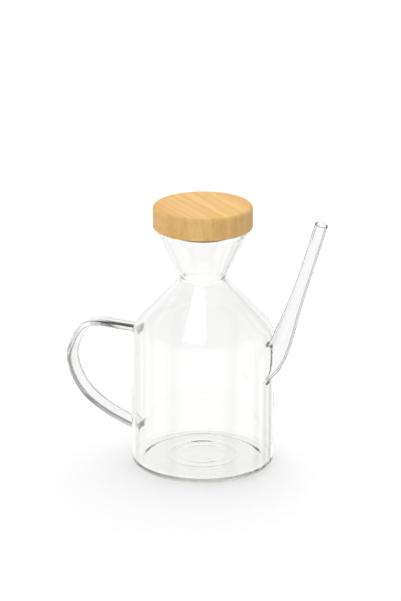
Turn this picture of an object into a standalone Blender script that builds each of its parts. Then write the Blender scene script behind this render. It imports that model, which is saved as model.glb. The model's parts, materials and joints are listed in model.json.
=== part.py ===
"""Oil and vinegar bottle: a clear glass vessel with a strap handle, a long spout and a funnel mouth,
closed by a turned bamboo lid whose plug carries a silicone seal.

The glass is one fused piece. The bottle stands on z = 0 with its axis on the Z axis, its spout
towards +X and its handle towards -X. Lengths are metres; MM turns millimetres into them.
"""
import math

import bmesh
import bpy
import numpy as np
from mathutils import Vector

MM = 0.001
GAP = 0.3 * MM
OVERCUT = 4.0 * MM

# Glass body, from the foot up to the waist between shoulder and funnel.
BODY_RADIUS = 45.0 * MM
HEEL_ROUND = 3.3 * MM
SHOULDER_HEIGHT = 87.9 * MM
SHOULDER_ROUND = 15.8 * MM
WAIST_RADIUS = 13.8 * MM
WAIST_HEIGHT = 120.8 * MM
WAIST_ROUND = 3.0 * MM
WALL = 1.7 * MM
FLOOR = 3.2 * MM

# Funnel mouth, its bulged collar and the round bead of the lip.
FUNNEL_RADIUS = 25.5 * MM
FUNNEL_HEIGHT = 145.4 * MM
FUNNEL_ROUND = 8.0 * MM
COLLAR_RADIUS = 27.6 * MM
COLLAR_HEIGHT = 149.9 * MM
COLLAR_ROUND = 4.5 * MM
LIP_RADIUS = 26.0 * MM
LIP_HEIGHT = 156.0 * MM
LIP_BEAD = 1.03 * MM
LIP_ARC_START = -50.0
LIP_ARC_END = 230.0
LIP_ARC_STEPS = 7

# Spout: x, z and outer radius of its middle line, from inside the wall to the tip.
SPOUT_LINE = (
    (36.0, 63.5, 9.6),
    (45.0, 72.0, 8.7),
    (52.0, 82.3, 6.7),
    (56.3, 94.0, 5.9),
    (61.4, 108.8, 4.65),
    (68.5, 130.0, 3.9),
    (76.6, 156.0, 3.8),
    (79.0, 163.9, 3.85),
    (79.45, 165.4, 4.15),
)
SPOUT_WALL_ROOT = 1.5 * MM
SPOUT_WALL_TIP = 1.1 * MM
SPOUT_TRIM = 0.8 * MM

# Handle: x and z of the strap's middle line, from its upper root round to its lower root.
HANDLE_LINE = (
    (-43.9, 81.5),
    (-60.0, 81.6),
    (-73.0, 81.5),
    (-82.4, 78.1),
    (-89.0, 68.6),
    (-92.4, 56.8),
    (-89.4, 44.3),
    (-80.0, 31.8),
    (-64.0, 22.3),
    (-43.9, 15.0),
)
HANDLE_WIDTH = 10.8 * MM
HANDLE_THICKNESS = 3.3 * MM
HANDLE_SQUARENESS = 4.0
HANDLE_ROOT_FLARE = 0.35
HANDLE_ROOT_LENGTH = 4.0 * MM

# Bamboo lid: its skirt covers the bead of the lip and its plug hangs into the mouth.
LID_RADIUS = 31.0 * MM
LID_TOP = 168.0 * MM
LID_EDGE_ROUND = 2.2 * MM
SKIRT_BOTTOM = 153.6 * MM
SKIRT_INNER_RADIUS = 27.5 * MM
SKIRT_OUTER_ROUND = 1.2 * MM
SKIRT_INNER_ROUND = 0.5 * MM
PLUG_RADIUS = 20.6 * MM
PLUG_BOTTOM = 149.2 * MM
PLUG_ROUND = 2.0 * MM

# Silicone seal: a ring round the plug with two flexible fins.
SEAL_RADIUS = 24.55 * MM
SEAL_CORE_RADIUS = 23.3 * MM
SEAL_BOTTOM = 151.6 * MM
FIN_THICKNESS = 1.5 * MM

BODY_STEPS = 56
ARC_STEP = 18.0
SPOUT_STEPS = 20
SPOUT_SIDES = 20
HANDLE_STEPS = 32
HANDLE_SIDES = 16
SMOOTH_ANGLE = 32.0


def clear_scene():
    """Removes every object, so that the file holds only this model."""
    for thing in list(bpy.data.objects):
        bpy.data.objects.remove(thing, do_unlink=True)


def make_material(name, colour, roughness, transmission=0.0):
    """A Principled material with a colour, a roughness and, for glass, transmission."""
    material = bpy.data.materials.new(name)
    material.use_nodes = True
    shader = material.node_tree.nodes["Principled BSDF"]
    shader.inputs["Base Color"].default_value = (*colour, 1.0)
    shader.inputs["Roughness"].default_value = roughness
    shader.inputs["Metallic"].default_value = 0.0
    shader.inputs["Transmission Weight"].default_value = transmission
    material.diffuse_color = (*colour, 1.0)
    return material


def add_object(name, bm, material=None):
    """Turns a bmesh into an object with its faces pointing out and its round sides smooth."""
    bmesh.ops.recalc_face_normals(bm, faces=bm.faces)
    mesh = bpy.data.meshes.new(name)
    bm.to_mesh(mesh)
    bm.free()
    thing = bpy.data.objects.new(name, mesh)
    bpy.context.scene.collection.objects.link(thing)
    if material:
        mesh.materials.append(material)
    return thing


def rounded_outline(corners):
    """Replaces each corner (radius, height, rounding) of an outline by an arc of that rounding."""
    points = [Vector(corner[:2]) for corner in corners]
    outline = []
    for index, corner in enumerate(corners):
        here = points[index]
        rounding = corner[2] if len(corner) > 2 else 0.0
        if not rounding:
            outline.append(here)
            continue
        back = (points[index - 1] - here).normalized()
        ahead = (points[index + 1] - here).normalized()
        half = back.angle(ahead) / 2
        centre = here + (back + ahead).normalized() * rounding / math.sin(half)
        start = here + back * rounding / math.tan(half) - centre
        turn = math.pi - 2 * half
        side = math.copysign(1.0, back.x * ahead.y - back.y * ahead.x)
        steps = max(2, math.ceil(math.degrees(turn) / ARC_STEP))
        for step in range(steps + 1):
            angle = -side * turn * step / steps
            spun = Vector((
                start.x * math.cos(angle) - start.y * math.sin(angle),
                start.x * math.sin(angle) + start.y * math.cos(angle),
            ))
            outline.append(centre + spun)
    return outline


def inset_corners(corners, depth):
    """Moves each inner corner of an outline inwards, so that both sides beside it shift by depth."""
    inset = []
    for index in range(1, len(corners) - 1):
        before, here, after = (Vector(corners[index + step][:2]) for step in (-1, 0, 1))
        first = (here - before).normalized()
        second = (after - here).normalized()
        normals = np.array([[-first.y, first.x], [-second.y, second.x]])
        shift = np.linalg.solve(normals, [depth, depth])
        inset.append((here.x + shift[0], here.y + shift[1]))
    return inset


def turn(outline):
    """Spins an outline that starts and ends on the axis, or that closes on itself, into a solid."""
    bm = bmesh.new()
    verts = [bm.verts.new((point.x, 0.0, point.y)) for point in outline]
    edges = [bm.edges.new(pair) for pair in zip(verts[:-1], verts[1:])]
    if outline[0].x > GAP:
        edges.append(bm.edges.new((verts[-1], verts[0])))
    bmesh.ops.spin(bm, geom=verts + edges, cent=(0, 0, 0), axis=(0, 0, 1), angle=2 * math.pi,
                   steps=BODY_STEPS, use_merge=True)
    bmesh.ops.remove_doubles(bm, verts=bm.verts, dist=GAP / 100)
    return bm


def smooth_line(points, count):
    """Runs a Catmull-Rom curve through the points and returns count evenly spread rows of it."""
    rows = np.array(points, float) * MM
    ends = np.vstack([2 * rows[0] - rows[1], rows, 2 * rows[-1] - rows[-2]])
    fine = []
    for index in range(len(rows) - 1):
        before, start, end, after = ends[index:index + 4]
        u = np.linspace(0.0, 1.0, 24, endpoint=False)[:, None]
        fine.append(0.5 * (2 * start + (end - before) * u
                           + (2 * before - 5 * start + 4 * end - after) * u ** 2
                           + (3 * start - before - 3 * end + after) * u ** 3))
    fine = np.vstack(fine + [rows[-1:]])
    steps = np.linalg.norm(np.diff(fine[:, :2], axis=0), axis=1)
    length = np.concatenate([[0.0], np.cumsum(steps)])
    wanted = np.linspace(0.0, length[-1], count)
    return np.stack([np.interp(wanted, length, column) for column in fine.T], axis=1), wanted


def loft(line, half_depth, half_width, sides, squareness=2.0):
    """Bridges sections along a line in the XZ plane: superellipses with the given half sizes."""
    tangent = np.gradient(line[:, :2], axis=0)
    tangent /= np.linalg.norm(tangent, axis=1, keepdims=True)
    bm = bmesh.new()
    loops = []
    for centre, along, depth, width in zip(line, tangent, half_depth, half_width):
        across = Vector((-along[1], 0.0, along[0]))
        ring = []
        for side in range(sides):
            angle = 2 * math.pi * (side + 0.5) / sides
            cosine = math.cos(angle)
            sine = math.sin(angle)
            out = math.copysign(abs(cosine) ** (2 / squareness), cosine) * depth
            beside = math.copysign(abs(sine) ** (2 / squareness), sine) * width
            ring.append(bm.verts.new(Vector((centre[0], 0, centre[1])) + across * out
                                     + Vector((0, beside, 0))))
        loops.append([bm.edges.new((ring[k], ring[(k + 1) % sides])) for k in range(sides)])
    for first, second in zip(loops[:-1], loops[1:]):
        bmesh.ops.bridge_loops(bm, edges=first + second)
    for end in (loops[0], loops[-1]):
        bmesh.ops.contextual_create(bm, geom=end)
    return bm


def combine(target, other, operation):
    """Applies one exact Boolean to the target and removes the other object."""
    modifier = target.modifiers.new(operation.lower(), "BOOLEAN")
    modifier.operation = operation
    modifier.solver = "EXACT"
    modifier.object = other
    depsgraph = bpy.context.evaluated_depsgraph_get()
    result = bpy.data.meshes.new_from_object(target.evaluated_get(depsgraph))
    target.modifiers.remove(modifier)
    target.data = result
    bpy.data.objects.remove(other, do_unlink=True)


def glass_corners():
    """Corners of the glass from the foot's middle up to the neck below the lip's bead."""
    return [
        (0.0, 0.0),
        (BODY_RADIUS, 0.0, HEEL_ROUND),
        (BODY_RADIUS, SHOULDER_HEIGHT, SHOULDER_ROUND),
        (WAIST_RADIUS, WAIST_HEIGHT, WAIST_ROUND),
        (FUNNEL_RADIUS, FUNNEL_HEIGHT, FUNNEL_ROUND),
        (COLLAR_RADIUS, COLLAR_HEIGHT, COLLAR_ROUND),
        (LIP_RADIUS + LIP_BEAD * math.cos(math.radians(LIP_ARC_START)),
         LIP_HEIGHT + LIP_BEAD * math.sin(math.radians(LIP_ARC_START))),
    ]


def cavity_corners():
    """Corners of the space inside the glass: the outer ones, moved in by the wall or the floor."""
    outer = glass_corners()
    inner = inset_corners(outer, WALL)
    roundings = (HEEL_ROUND, SHOULDER_ROUND - WALL, WAIST_ROUND, FUNNEL_ROUND, COLLAR_ROUND)
    inner[0] = (inner[0][0], FLOOR)
    return [(0.0, FLOOR)] + [(*point, rounding) for point, rounding in zip(inner, roundings)]


def lip_arc():
    """The round bead of the lip, from its outer lower side over the top to its inner lower side."""
    angles = [math.radians(LIP_ARC_START + (LIP_ARC_END - LIP_ARC_START) * step / LIP_ARC_STEPS)
              for step in range(LIP_ARC_STEPS + 1)]
    return [Vector((LIP_RADIUS + LIP_BEAD * math.cos(angle), LIP_HEIGHT + LIP_BEAD * math.sin(angle)))
            for angle in angles]


def turned_body():
    """The body of revolution: outside up to the lip, over its bead and down the inside."""
    lip = lip_arc()
    outside = rounded_outline(glass_corners())[:-1]
    end = (lip[-1].x, lip[-1].y)
    inside = rounded_outline(cavity_corners() + [end])[:-1]
    return turn(outside + lip + inside[::-1])


def trimming_core():
    """A plug a little wider than the cavity, which trims the spout so that it ends in the wall."""
    corners = cavity_corners()[:4]
    wider = [(0.0, FLOOR)]
    wider += [(radius + SPOUT_TRIM, height, rounding) for radius, height, rounding in corners[1:3]]
    wider += [(corners[3][0] + SPOUT_TRIM, corners[3][1]), (0.0, corners[3][1])]
    return turn(rounded_outline(wider))


def spout_shapes():
    """The spout's solid outer cone and the bore that is cut through it and the wall."""
    line, length = smooth_line(SPOUT_LINE, SPOUT_STEPS)
    outer = loft(line, line[:, 2], line[:, 2], SPOUT_SIDES)
    share = length / length[-1]
    bore_radius = line[:, 2] - (SPOUT_WALL_ROOT + (SPOUT_WALL_TIP - SPOUT_WALL_ROOT) * share)
    bore_line = line.copy()
    ahead = bore_line[-1, :2] - bore_line[-2, :2]
    bore_line[-1, :2] += ahead / np.linalg.norm(ahead) * OVERCUT
    bore = loft(bore_line, bore_radius, bore_radius, SPOUT_SIDES)
    return outer, bore


def handle_shape():
    """The strap of the handle, a flattened bar that spreads where it fuses with the wall."""
    line, length = smooth_line(HANDLE_LINE, HANDLE_STEPS)
    to_root = np.minimum(length, length[-1] - length) / HANDLE_ROOT_LENGTH
    flare = 1 + HANDLE_ROOT_FLARE * np.exp(-to_root ** 2)
    thick = HANDLE_THICKNESS / 2 * flare
    wide = HANDLE_WIDTH / 2 * (1 + (flare - 1) / 3)
    return loft(line, thick, wide, HANDLE_SIDES, HANDLE_SQUARENESS)


def make_vessel(material):
    """The whole glass: body, spout and handle fused, with the spout's bore open both ways."""
    vessel = add_object("glass_vessel", turned_body(), material)
    outer, bore = spout_shapes()
    spout = add_object("spout", outer)
    combine(spout, add_object("core", trimming_core()), "DIFFERENCE")
    combine(vessel, spout, "UNION")
    combine(vessel, add_object("handle", handle_shape()), "UNION")
    combine(vessel, add_object("bore", bore), "DIFFERENCE")
    return vessel


def make_lid(material):
    """The bamboo lid: a round block with a skirt, a groove for the lip and a plug."""
    ceiling = LIP_HEIGHT + LIP_BEAD + GAP
    corners = [
        (0.0, PLUG_BOTTOM),
        (PLUG_RADIUS, PLUG_BOTTOM, PLUG_ROUND),
        (PLUG_RADIUS, ceiling),
        (SKIRT_INNER_RADIUS, ceiling),
        (SKIRT_INNER_RADIUS, SKIRT_BOTTOM, SKIRT_INNER_ROUND),
        (LID_RADIUS, SKIRT_BOTTOM, SKIRT_OUTER_ROUND),
        (LID_RADIUS, LID_TOP, LID_EDGE_ROUND),
        (0.0, LID_TOP),
    ]
    return add_object("bamboo_lid", turn(rounded_outline(corners)), material)


def make_seal(material):
    """The silicone ring round the plug: a core with a fin at its foot and one above it."""
    top = LIP_HEIGHT + LIP_BEAD
    inner = PLUG_RADIUS + GAP
    step = (top - SEAL_BOTTOM - 2 * FIN_THICKNESS) / 2
    heights = (SEAL_BOTTOM, SEAL_BOTTOM + FIN_THICKNESS)
    corners = [(inner, SEAL_BOTTOM)]
    for lift in (0.0, FIN_THICKNESS + step):
        corners += [
            (SEAL_CORE_RADIUS, heights[0] + lift),
            (SEAL_RADIUS, heights[0] + lift),
            (SEAL_RADIUS, heights[1] + lift),
            (SEAL_CORE_RADIUS, heights[1] + lift),
        ]
    corners += [(SEAL_CORE_RADIUS, top), (inner, top)]
    return add_object("silicone_seal", turn(rounded_outline(corners)), material)


def shade(thing):
    """Shades the round sides smooth and keeps the edges sharper than the set angle."""
    thing.data.shade_smooth()
    thing.data.set_sharp_from_angle(angle=math.radians(SMOOTH_ANGLE))


def main():
    clear_scene()
    glass = make_material("clear_glass", (0.94, 0.96, 0.94), 0.02, transmission=1.0)
    bamboo = make_material("bamboo", (0.77, 0.45, 0.16), 0.48)
    silicone = make_material("silicone", (0.66, 0.52, 0.37), 0.42)
    for thing in (make_vessel(glass), make_lid(bamboo), make_seal(silicone)):
        shade(thing)


main()
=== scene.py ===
# %% [markdown]
# # A clear glass bottle for oil and vinegar
# The real bottle is three things: one piece of blown glass with its spout and its strap handle fused on,
# a lid turned from bamboo board, and a soft silicone ring round the plug of the lid. This lesson makes each
# one as a surface computed with numpy and then gives it a finish made of shader nodes. Lengths are metres,
# the bottle stands on z = 0 with its axis on Z, its spout towards +X and its handle towards -X.

# %% The frame that carries the looks
import json
import math

import bpy
import numpy as np
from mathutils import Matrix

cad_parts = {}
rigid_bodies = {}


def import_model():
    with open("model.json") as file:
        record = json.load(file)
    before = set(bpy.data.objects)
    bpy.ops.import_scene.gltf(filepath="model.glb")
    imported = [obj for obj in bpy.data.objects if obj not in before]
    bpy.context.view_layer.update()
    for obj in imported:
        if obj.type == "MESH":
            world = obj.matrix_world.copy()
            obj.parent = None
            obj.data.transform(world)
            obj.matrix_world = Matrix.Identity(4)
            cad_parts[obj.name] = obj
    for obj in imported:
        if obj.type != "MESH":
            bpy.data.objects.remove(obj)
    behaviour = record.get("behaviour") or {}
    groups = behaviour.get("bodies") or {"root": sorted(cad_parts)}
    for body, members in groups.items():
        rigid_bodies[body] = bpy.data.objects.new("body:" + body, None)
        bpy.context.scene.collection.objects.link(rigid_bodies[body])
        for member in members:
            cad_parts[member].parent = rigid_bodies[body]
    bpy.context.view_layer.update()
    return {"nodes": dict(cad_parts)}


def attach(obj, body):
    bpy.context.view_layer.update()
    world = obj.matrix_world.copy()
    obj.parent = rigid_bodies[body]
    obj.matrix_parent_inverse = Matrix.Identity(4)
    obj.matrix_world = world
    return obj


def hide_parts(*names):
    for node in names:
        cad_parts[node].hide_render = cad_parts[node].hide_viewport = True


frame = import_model()
MM = 0.001
CM = 0.01
print("nodes of the frame:", sorted(frame["nodes"]))

# %% [markdown]
# ## Camera
# A long lens about two steps away, a little above the bottle, keeps its sides nearly parallel. The camera is
# described by the point it looks at and two angles, and its matrix is built from three directions: right,
# up and back. A tracking constraint would do too, but a plain matrix leaves nothing to solve.


# %% Putting a camera or a lamp in its place
def aimed(name, data, right, back, place):
    """A new object whose X, Y and Z axes lie along right, back x right and back, with its origin at place."""
    thing = bpy.data.objects.new(name, data)
    bpy.context.scene.collection.objects.link(thing)
    matrix = np.eye(4)
    matrix[:3, :3] = np.stack([right, np.cross(back, right), back], axis=1)
    matrix[:3, 3] = place
    thing.matrix_world = matrix.T.tolist()
    return thing


# %% Camera from two angles
CAMERA_TURN = math.radians(25.0)
CAMERA_RISE = math.radians(18.68)
CAMERA_AWAY = 1.8
CAMERA_LENS = 172.54
CAMERA_SENSOR = 36.0
CAMERA_SEES_TO = 50.0
LOOK_HEIGHT = 105.58 * MM
LOOK_ASIDE = -1.48 * MM

camera_right = np.array([math.cos(CAMERA_TURN), math.sin(CAMERA_TURN), 0.0])
camera_back = np.array([
    math.sin(CAMERA_TURN) * math.cos(CAMERA_RISE),
    -math.cos(CAMERA_TURN) * math.cos(CAMERA_RISE),
    math.sin(CAMERA_RISE),
])
camera_place = np.array([0.0, 0.0, LOOK_HEIGHT]) + camera_right * LOOK_ASIDE + camera_back * CAMERA_AWAY

camera_data = bpy.data.cameras.new("camera")
camera_data.lens = CAMERA_LENS
camera_data.sensor_width = CAMERA_SENSOR
camera_data.clip_end = CAMERA_SEES_TO
camera = aimed("camera", camera_data, camera_right, camera_back, camera_place)
bpy.context.scene.camera = camera
print("camera at", camera_place.round(3), "metres")

# %% [markdown]
# ## From grids of points to meshes
# Nearly everything here is a tube in the wide sense: rings of points, one after the other. A revolved wall,
# a spout and a strap differ only in where their rings lie. So one function skins any grid of rings into a
# closed mesh. The sign of the volume tells whether the faces point outwards, and turns them if they don't.


# %% Skinning rings of points
def skin(name, rings, ends=None, wrap_rows=False):
    """Closed mesh over rings[row, column] = (x, y, z).

    Quad (r, c) joins the points (r, c), (r, c + 1), (r + 1, c + 1) and (r + 1, c). Unless the rows wrap
    round, a fan from one middle point closes each end. Volume = sum of a . (b x c) / 6 over triangles.
    """
    rows, columns = rings.shape[:2]
    row = np.arange(rows if wrap_rows else rows - 1)[:, None]
    column = np.arange(columns)
    beside = (column + 1) % columns
    above = (row + 1) % rows
    corners = (row * columns + column, row * columns + beside,
               above * columns + beside, above * columns + column)
    quads = np.stack(corners, axis=-1).reshape(-1, 4)
    points = rings.reshape(-1, 3)
    fans = np.zeros((0, 3), int)
    if not wrap_rows:
        middles = ends if ends is not None else (rings[0].mean(axis=0), rings[-1].mean(axis=0))
        last = (rows - 1) * columns
        tip = np.full(columns, rows * columns)
        fans = np.vstack([np.stack([beside, column, tip], axis=1),
                          np.stack([column + last, beside + last, tip + 1], axis=1)])
        points = np.vstack([points, *middles])
    triangles = np.vstack([quads[:, :3], quads[:, [0, 2, 3]], fans])
    a, b, c = (points[triangles[:, k]] for k in range(3))
    volume = np.einsum("ij,ij->i", a, np.cross(b, c)).sum() / 6
    if volume < 0:
        quads, fans = quads[:, ::-1], fans[:, ::-1]
    mesh = bpy.data.meshes.new(name)
    mesh.from_pydata(points.tolist(), [], quads.tolist() + fans.tolist())
    mesh.shade_smooth()
    thing = bpy.data.objects.new(name, mesh)
    bpy.context.scene.collection.objects.link(thing)
    print(f"{name}: {len(points)} points, {abs(volume) / CM ** 3:.2f} cm3")
    return thing


# %% [markdown]
# ## Profiles with rounded corners
# Glass and turned wood have no sharp corners. A profile is written as a few corners, each with the radius of
# its rounding, and a function sets an arc into each one. Drawing hundreds of points by hand would give the
# same shape, but nothing in them could be read or changed later.


# %% Outlines with arcs and even points
def rounded(corners, step=5.0):
    """Outline through corners (x, z, r), each rounded with radius r.

    The arc's centre lies on the bisector, r / sin(half the corner) away, and its ends lie
    r / tan(half the corner) along both sides. step is the turn between its points, in degrees.
    """
    spots = np.array([corner[:2] for corner in corners], float)
    pieces = []
    for index, corner in enumerate(corners):
        here = spots[index]
        radius = corner[2] if len(corner) > 2 else 0.0
        if not radius:
            pieces.append(here[None])
            continue
        back = spots[index - 1] - here
        ahead = spots[index + 1] - here
        back /= np.linalg.norm(back)
        ahead /= np.linalg.norm(ahead)
        half = math.acos(np.clip(back @ ahead, -1, 1)) / 2
        middle = (back + ahead) / np.linalg.norm(back + ahead)
        centre = here + middle * radius / math.sin(half)
        start = here + back * radius / math.tan(half) - centre
        turn = (math.pi - 2 * half) * -math.copysign(1.0, back[0] * ahead[1] - back[1] * ahead[0])
        angle = np.linspace(0.0, turn, max(3, math.ceil(abs(math.degrees(turn)) / step) + 1))
        pieces.append(centre + np.stack([start[0] * np.cos(angle) - start[1] * np.sin(angle),
                                         start[0] * np.sin(angle) + start[1] * np.cos(angle)], axis=1))
    return np.vstack(pieces)


def filled(outline, longest):
    """The outline with even points added, so that no stretch is longer than the given length."""
    pieces = []
    for start, end in zip(outline[:-1], outline[1:]):
        count = max(1, math.ceil(np.linalg.norm(end - start) / longest))
        pieces.append(start + (end - start) * np.arange(count)[:, None] / count)
    return np.vstack([*pieces, outline[-1:]])


def inset(corners, depth):
    """Inner corners of an outline, moved to its left until both sides beside each one lie depth away."""
    spots = np.array([corner[:2] for corner in corners], float)
    along = np.diff(spots, axis=0)
    along /= np.linalg.norm(along, axis=1, keepdims=True)
    normal = np.stack([-along[:, 1], along[:, 0]], axis=1)
    pairs = np.stack([normal[:-1], normal[1:]], axis=1)
    return spots[1:-1] + np.linalg.solve(pairs, np.full((len(pairs), 2, 1), depth))[..., 0]


# %% Turning a profile
def turned(name, profile, sides, wrap_rows=False):
    """Profile (r, z) turned about the Z axis: x = r cos a, y = r sin a, z = z.

    A profile that starts and ends on the axis gets its two poles as single points.
    """
    angle = np.arange(sides) * 2 * math.pi / sides
    rows = profile if wrap_rows else profile[1:-1]
    rings = np.stack([rows[:, :1] * np.cos(angle), rows[:, :1] * np.sin(angle),
                      np.repeat(rows[:, 1:], sides, axis=1)], axis=-1)
    ends = None if wrap_rows else [(0.0, 0.0, profile[k, 1]) for k in (0, -1)]
    return skin(name, rings, ends, wrap_rows)


# %% [markdown]
# ## The body of the glass
# The wall is one profile: out over the foot, up the side, over the shoulder to the narrow waist, out along
# the funnel, round the bead of the lip and back down inside, 1.7 mm further in. The floor is thicker than the
# wall and meets it in a tight inner corner, so the heel is the body's heaviest glass.

# %% Sizes of the body
BODY_RADIUS = 45.0 * MM
HEEL_ROUND = 3.3 * MM
INNER_HEEL_ROUND = 1.0 * MM
FOOT_HOLLOW = 0.5 * MM
FOOT_RING_INNER = 35.0 * MM
FOOT_RING_OUTER = 37.5 * MM
FOOT_HOLLOW_ROUND = 4.0 * MM
FOOT_RING_ROUND = 1.0 * MM
SHOULDER_HEIGHT = 87.9 * MM
SHOULDER_ROUND = 15.8 * MM
WAIST_RADIUS = 13.8 * MM
WAIST_HEIGHT = 120.8 * MM
WAIST_ROUND = 3.0 * MM
WALL = 1.7 * MM
FLOOR = 3.2 * MM
FUNNEL_RADIUS = 25.5 * MM
FUNNEL_HEIGHT = 145.4 * MM
FUNNEL_ROUND = 8.0 * MM
COLLAR_RADIUS = 27.6 * MM
COLLAR_HEIGHT = 149.9 * MM
COLLAR_ROUND = 4.5 * MM
LIP_RADIUS = 26.0 * MM
LIP_HEIGHT = 156.0 * MM
LIP_BEAD = 1.03 * MM
LIP_ARC = (-50.0, 230.0)
LIP_POINTS = 27
BODY_STEP = 2.4 * MM
BODY_SIDES = 160
print("body:", 2 * BODY_RADIUS, "wide, lip", LIP_HEIGHT + LIP_BEAD, "high, in metres")

# %% The profile of the body
lip_angle = np.radians(np.linspace(*LIP_ARC, LIP_POINTS))
lip = np.stack([LIP_RADIUS + LIP_BEAD * np.cos(lip_angle), LIP_HEIGHT + LIP_BEAD * np.sin(lip_angle)], axis=1)

outer_corners = [
    (0.0, 0.0),
    (BODY_RADIUS, 0.0, HEEL_ROUND),
    (BODY_RADIUS, SHOULDER_HEIGHT, SHOULDER_ROUND),
    (WAIST_RADIUS, WAIST_HEIGHT, WAIST_ROUND),
    (FUNNEL_RADIUS, FUNNEL_HEIGHT, FUNNEL_ROUND),
    (COLLAR_RADIUS, COLLAR_HEIGHT, COLLAR_ROUND),
    tuple(lip[0]),
]
inner_spots = inset(outer_corners, WALL)
inner_spots[0, 1] = FLOOR
inner_rounds = (INNER_HEEL_ROUND, SHOULDER_ROUND - WALL, WAIST_ROUND, FUNNEL_ROUND, COLLAR_ROUND)
inner_corners = [(0.0, FLOOR)]
inner_corners += [(*spot, radius) for spot, radius in zip(inner_spots.tolist(), inner_rounds)]
inner_corners += [tuple(lip[-1])]

foot_corners = [
    (0.0, FOOT_HOLLOW),
    (FOOT_RING_INNER, FOOT_HOLLOW, FOOT_HOLLOW_ROUND),
    (FOOT_RING_OUTER, 0.0, FOOT_RING_ROUND),
    *outer_corners[1:],
]
outside = filled(rounded(foot_corners)[:-1], BODY_STEP)
inside = filled(rounded(inner_corners)[:-1], BODY_STEP)
print("outside:", len(outside), "points, inside:", len(inside), "points")

# %% [markdown]
# ## Rings in the floor
# A hand tool has pressed two faint rings into the floor, which catch the light in the middle of the bottom.
# The rings need points of their own: a bump narrower than the grid would only show as a kink. So the flat of
# the floor is sampled finely, and each ring is a bell curve added to its height.

# %% Rings pressed into the floor
TOOL_RINGS = (
    {"radius": 14.5 * MM, "width": 1.3 * MM, "height": 0.22 * MM},
    {"radius": 22.0 * MM, "width": 1.6 * MM, "height": 0.3 * MM},
)
FLOOR_STEP = 0.55 * MM
FLOOR_MARGIN = 1.0 * MM
JUST_ABOVE_FLOOR = FLOOR * 1.2


def with_rings(outline, rings):
    """Floor heights h(r) = h + sum of height * exp(-((r - radius) / width)^2) over the rings."""
    lifted = outline.copy()
    on_floor = outline[:, 1] < JUST_ABOVE_FLOOR
    for ring in rings:
        bell = np.exp(-((outline[:, 0] - ring["radius"]) / ring["width"]) ** 2)
        lifted[:, 1] += ring["height"] * bell * on_floor
    return lifted


flat_radius = BODY_RADIUS - WALL - INNER_HEEL_ROUND - FLOOR_MARGIN
floor_edge = np.argmax(inside[:, 0] > flat_radius)
floor_part = filled(inside[[0, floor_edge]], FLOOR_STEP)
inside = with_rings(np.vstack([floor_part[:-1], inside[floor_edge:]]), TOOL_RINGS)
body_profile = np.vstack([outside, lip, inside[::-1]])
vessel = turned("vessel_glass", body_profile, BODY_SIDES)
print("body profile:", len(body_profile), "points,", len(floor_part), "of them on the flat of the floor")

# %% [markdown]
# ## Tubes that grow out of the wall
# A glassblower melts the spout and the handle on, so each one flares where it meets the wall. Here every
# line along the tube starts in the middle of the wall's thickness, wherever that is for that line, and near
# the wall it swings out along a quarter circle until it runs flush with the wall. A Boolean union then
# leaves a joint without a crease, where a plain tube pushed through a wall would leave a hard edge.


# %% Lines and rings
LINE_POINTS = 60


def smooth_line(rows, count):
    """Catmull-Rom curve through the rows, as count rows at even distances.

    Between two rows, with u from 0 to 1: (2b + (c - a)u + (2a - 5b + 4c - d)u^2 + (3b - a - 3c + d)u^3) / 2.
    """
    rows = np.array(rows, float) * MM
    longer = np.vstack([2 * rows[0] - rows[1], rows, 2 * rows[-1] - rows[-2]])
    a, b, c, d = (longer[k:k + len(rows) - 1, None] for k in range(4))
    u = np.linspace(0.0, 1.0, LINE_POINTS, endpoint=False)[None, :, None]
    fine = (2 * b + (c - a) * u + (2 * a - 5 * b + 4 * c - d) * u ** 2 + (3 * b - a - 3 * c + d) * u ** 3) / 2
    fine = np.vstack([fine.reshape(-1, rows.shape[1]), rows[-1:]])
    run = np.concatenate([[0.0], np.cumsum(np.linalg.norm(np.diff(fine[:, :2], axis=0), axis=1))])
    wanted = np.linspace(0.0, run[-1], count)
    return np.stack([np.interp(wanted, run, column) for column in fine.T], axis=1), wanted


def sweep(line, shape, normal, scale):
    """Rings P(t, a) = C(t) + scale(t) * (N(t) * x(a) + Y * y(a)) and the normals N * nx + Y * ny.

    C is a line in the XZ plane, N is at right angles to it in that plane, and Y is the world's Y. The
    section is one for the whole line, or one for each of its rows.
    """
    along = np.gradient(line[:, :2], axis=0)
    along /= np.linalg.norm(along, axis=1, keepdims=True)
    zero = np.zeros(len(line))
    across = np.stack([-along[:, 1], zero, along[:, 0]], axis=1)[:, None]
    side = np.array([0.0, 1.0, 0.0])
    centre = np.stack([line[:, 0], zero, line[:, 1]], axis=1)[:, None]
    size = np.asarray(scale)[:, None, None]
    rings = centre + size * (across * shape[..., :1] + side * shape[..., 1:])
    return rings, across * normal[..., :1] + side * normal[..., 1:]


# %% [markdown]
# The distance from the wall decides where each line of a tube starts and how far it swings out. The helpers
# below find the rows where that distance passes a set of levels, and pick points between two rows. A tube's
# flush edge lies a hair outside the wall: exactly in it, it would graze the wall's flat facets, and the union
# would leave a ragged line of slivers.

# %% Starting in the wall and swinging out
JOINT_STEP = 0.012 * MM
ROOT_STEPS = 15
FINE_ROWS = 3000
NEARLY = 0.01 * MM

wall_outline = outside[np.argmax(outside[:, 0] > BODY_RADIUS - NEARLY):]
wall_outline = wall_outline[:np.argmin(wall_outline[:, 0]) + 1]
print("the wall that tubes can join runs from", wall_outline[0].round(4), "to", wall_outline[-1].round(4))


def off_wall(points, depth=0.0):
    """How far points lie outside the wall: their distance from the axis less the wall's radius there."""
    radius = np.interp(points[..., 2], wall_outline[:, 1], wall_outline[:, 0]) - depth + JOINT_STEP
    return np.hypot(points[..., 0], points[..., 1]) - radius


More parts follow.
